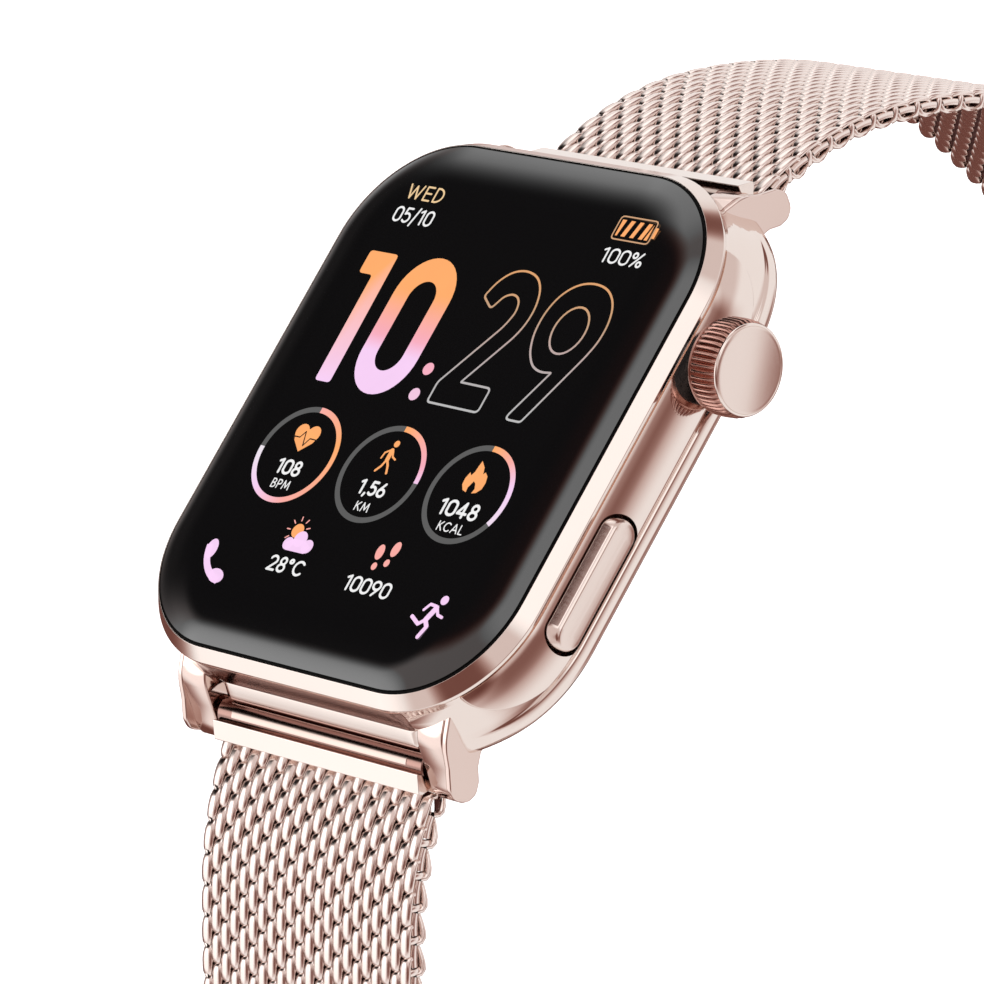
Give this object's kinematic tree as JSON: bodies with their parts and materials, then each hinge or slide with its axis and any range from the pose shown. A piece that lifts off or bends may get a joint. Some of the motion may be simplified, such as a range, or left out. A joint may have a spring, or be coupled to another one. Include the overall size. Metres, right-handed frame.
{
  "type": "smartwatch",
  "caption": "Rectangular smartwatch head on a closed woven metal band with a turning crown, a side button and a folding clasp.",
  "frame": {"origin": "centre of the rear window's flat outer face, which rests on the wrist", "axes": "+X to the crown side, +Y to 12 o'clock, +Z out of the display"},
  "size_m": [0.0442, 0.0997, 0.0985],
  "materials": {
    "rose_gold": "polished rose gold plating",
    "rose_mesh": "woven wire, polished rose gold plating",
    "steel": "turned stainless steel",
    "cover_glass": "gloss black hardened glass, lit dial beneath",
    "sensor_glass": "gloss dark lens",
    "display": "gloss",
    "black_rubber": "matt seal rubber",
    "black_plastic": "fine matt moulding",
    "circuit_board": "solder mask",
    "battery_foil": "laminated foil",
    "gold_contact": "gold plating"
  },
  "bodies": {
    "head": {"cover_glass": "cover_glass", "glass_seal": "black_rubber", "bezel": "rose_gold", "mid_case": "rose_gold", "rear_cover": "black_plastic", "rear_gasket": "black_rubber", "rear_screw_1": "steel", "rear_screw_2": "steel", "rear_screw_3": "steel", "rear_screw_4": "steel", "sensor_window": "sensor_glass", "charge_contact_left": "gold_contact", "charge_contact_right": "gold_contact", "display_panel": "display", "inner_frame": "black_plastic", "main_board": "circuit_board", "battery": "battery_foil", "vibration_motor": "steel", "speaker": "black_plastic", "microphone": "steel", "sensor_board": "circuit_board", "crown_switch": "steel", "button_switch": "steel", "crown_tube": "steel"},
    "crown_pusher": {"crown_plunger": "black_plastic"},
    "crown": {"crown_stem": "steel", "crown_oring": "black_rubber", "crown_encoder_ring": "black_plastic", "crown_knob": "rose_gold", "crown_cap": "rose_gold"},
    "side_button": {"button_cap": "rose_gold", "button_plunger": "steel", "button_gasket": "black_rubber", "button_clip": "steel"},
    "upper_strap": {"upper_bar_sleeve": "steel", "upper_bar_fixed_tip": "steel", "upper_bar_spring": "steel", "upper_end_piece": "rose_gold", "upper_mesh_strap": "rose_mesh", "catch_plate": "rose_gold", "catch_bar": "steel"},
    "upper_release": {"upper_release_pin": "steel"},
    "lower_strap": {"lower_bar_sleeve": "steel", "lower_bar_fixed_tip": "steel", "lower_bar_spring": "steel", "lower_end_piece": "rose_gold", "lower_mesh_strap": "rose_mesh", "clasp_body": "rose_gold", "clasp_cover_pin": "steel", "clasp_lock_pin": "steel"},
    "lower_release": {"lower_release_pin": "steel"},
    "clasp_cover": {"clasp_cover": "rose_gold"},
    "clasp_lock": {"clasp_lock_flap": "rose_gold"}
  },
  "joints": [
    {"name": "crown_press", "type": "slide", "parent": "head", "child": "crown_pusher", "axis": [-1, 0, 0], "range_m": [0, 0.0005], "stiffness_N_per_m": 800},
    {"name": "crown_turn", "type": "hinge", "parent": "crown_pusher", "child": "crown", "pos_m": [0.0211, 0.0091, 0.0073], "axis": [1, 0, 0], "continuous": true},
    {"name": "button_press", "type": "slide", "parent": "head", "child": "side_button", "axis": [-1, 0, 0], "range_m": [0, 0.0004], "stiffness_N_per_m": 800},
    {"name": "upper_strap_swing", "type": "hinge", "parent": "head", "child": "upper_strap", "pos_m": [0, 0.0228, 0.00365], "axis": [1, 0, 0], "range_deg": [0, 60]},
    {"name": "lower_strap_swing", "type": "hinge", "parent": "head", "child": "lower_strap", "pos_m": [0, -0.0228, 0.00365], "axis": [-1, 0, 0], "range_deg": [0, 60]},
    {"name": "upper_release_slide", "type": "slide", "parent": "upper_strap", "child": "upper_release", "axis": [-1, 0, 0], "range_m": [0, 0.0015], "stiffness_N_per_m": 300},
    {"name": "lower_release_slide", "type": "slide", "parent": "lower_strap", "child": "lower_release", "axis": [-1, 0, 0], "range_m": [0, 0.0015], "stiffness_N_per_m": 300},
    {"name": "clasp_cover_fold", "type": "hinge", "parent": "lower_strap", "child": "clasp_cover", "pos_m": [0, -0.0064, -0.0861], "axis": [-1, 0, 0], "range_deg": [0, 110]},
    {"name": "clasp_lock_fold", "type": "hinge", "parent": "lower_strap", "child": "clasp_lock", "pos_m": [0, -0.0156, -0.0861], "axis": [-1, 0, 0], "range_deg": [0, 75]}
  ]
}
